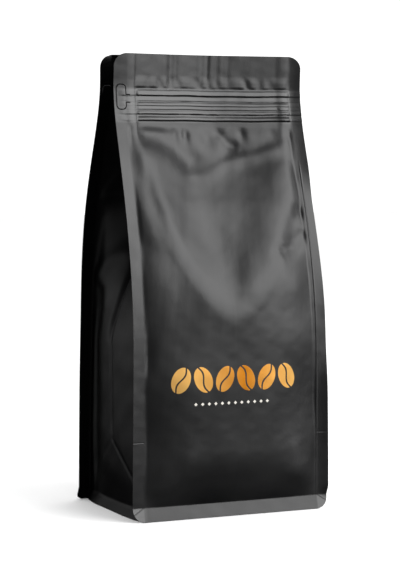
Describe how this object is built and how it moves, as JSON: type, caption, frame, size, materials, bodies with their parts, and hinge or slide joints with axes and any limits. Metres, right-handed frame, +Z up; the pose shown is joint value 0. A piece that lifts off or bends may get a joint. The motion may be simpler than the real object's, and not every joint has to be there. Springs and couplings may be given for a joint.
{
  "type": "flat-bottom coffee bag",
  "caption": "Filled flat-bottom side-gusset bag with welded fins, a pinched top seal, a press-to-close zipper and a tear strip with a pull tab.",
  "frame": {"origin": "centre of the footprint, at the level the bag stands on", "axes": "+Z up along the bag's height; -Y towards the front, where the zipper and the tear strip are; X across the front, with the pull tab at -X"},
  "size_m": [0.14, 0.1147, 0.3],
  "materials": {
    "film": "satin black laminated film with a gold printed motif",
    "tab_film": "satin black laminated film"
  },
  "bodies": {
    "root": {"bag_body": "film", "tear_strip": "tab_film"}
  },
  "joints": []
}
